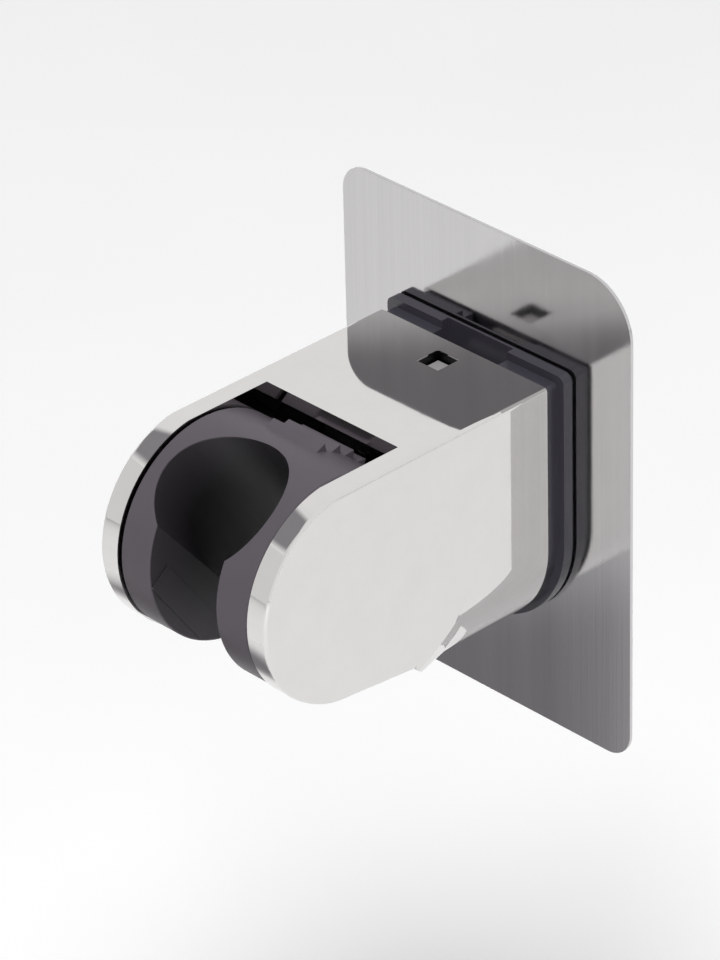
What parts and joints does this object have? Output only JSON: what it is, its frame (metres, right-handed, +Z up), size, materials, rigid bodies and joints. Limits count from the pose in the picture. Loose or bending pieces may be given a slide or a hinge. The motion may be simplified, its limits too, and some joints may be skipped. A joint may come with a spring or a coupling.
{
  "type": "shower head holder",
  "caption": "Wall holder for a hand shower: steel plate with adhesive pad, chromed arm and a tilting clip with a conical socket and hose slot.",
  "frame": {"origin": "centre of the adhesive pad's back face, which lies on the wall", "axes": "+Z up, -Y out of the wall towards the user, +X to the right for someone who faces the wall"},
  "size_m": [0.07, 0.0744, 0.095],
  "materials": {
    "adhesive": "clear soft acrylic foam",
    "plate_steel": "vertical brushed grain",
    "seat_plastic": "fine satin",
    "chrome_shell": "mirror",
    "clip_plastic": "fine satin",
    "lever_plastic": "satin",
    "gasket_rubber": "matt",
    "fixing_steel": "plain",
    "spring_steel": "drawn",
    "bush_brass": "turned",
    "washer_fibre": "matt"
  },
  "bodies": {
    "holder": {"adhesive_pad": "adhesive", "mounting_plate": "plate_steel", "weld_studs": "fixing_steel", "base_gasket": "gasket_rubber", "wall_seat": "seat_plastic", "stud_washers": "fixing_steel", "stud_nuts": "fixing_steel", "latch_pin": "fixing_steel", "latch_spring": "spring_steel", "holder_body": "chrome_shell", "pivot_pin_left": "fixing_steel", "pivot_pin_right": "fixing_steel", "friction_washer_left": "washer_fibre", "friction_washer_right": "washer_fibre", "detent_spring": "spring_steel", "detent_screw": "fixing_steel"},
    "latch": {"latch_lever": "lever_plastic"},
    "clip": {"swivel_clip": "clip_plastic", "pivot_bush_left": "bush_brass", "pivot_bush_right": "bush_brass"}
  },
  "joints": [
    {"name": "clip_swivel", "type": "hinge", "parent": "holder", "child": "clip", "pos_m": [0, -0.054, 0.0052], "axis": [1, 0, 0], "range_deg": [-42, 10.5]},
    {"name": "latch_press", "type": "hinge", "parent": "holder", "child": "latch", "pos_m": [0, -0.0055, 0.0202], "axis": [1, 0, 0], "range_deg": [0, 8], "stiffness_Nm_per_rad": 0.15, "deforming": ["latch_spring"]}
  ]
}
